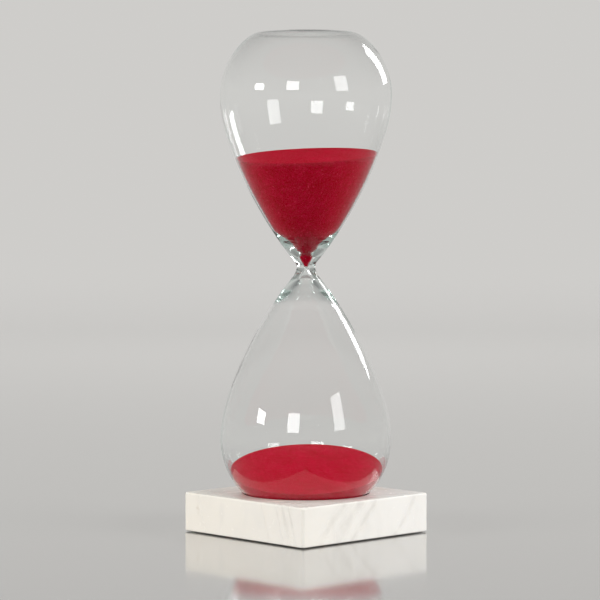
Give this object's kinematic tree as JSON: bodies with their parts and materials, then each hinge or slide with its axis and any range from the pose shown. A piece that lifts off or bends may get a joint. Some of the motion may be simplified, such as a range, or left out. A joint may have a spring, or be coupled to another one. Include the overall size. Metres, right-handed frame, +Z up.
{
  "type": "hourglass",
  "caption": "Clear blown-glass hourglass with crimson sand, its lower end standing loose in a round socket in a square white marble slab, so that it lifts out to be turned over.",
  "frame": {"origin": "under the middle of the square slab, at the level of the foot pads' undersides", "axes": "+Z up along the glass, +X and +Y square to the slab's sides; the corner at +X, -Y faces the viewer in the picture"},
  "size_m": [0.1026, 0.1026, 0.296],
  "materials": {
    "marble": "polished",
    "felt": "matte",
    "glass": "gloss",
    "sand": "matte"
  },
  "bodies": {
    "base": {"marble_base": "marble", "foot_pad_1": "felt", "foot_pad_2": "felt", "foot_pad_3": "felt", "foot_pad_4": "felt"},
    "glass": {"upper_bulb": "glass", "lower_bulb": "glass", "throat": "glass", "fill_plug": "glass", "upper_sand": "sand", "lower_sand": "sand"}
  },
  "joints": [
    {"name": "glass_lift", "type": "slide", "parent": "base", "child": "glass", "axis": [0, 0, 1], "range_m": [0, 0.08]}
  ]
}
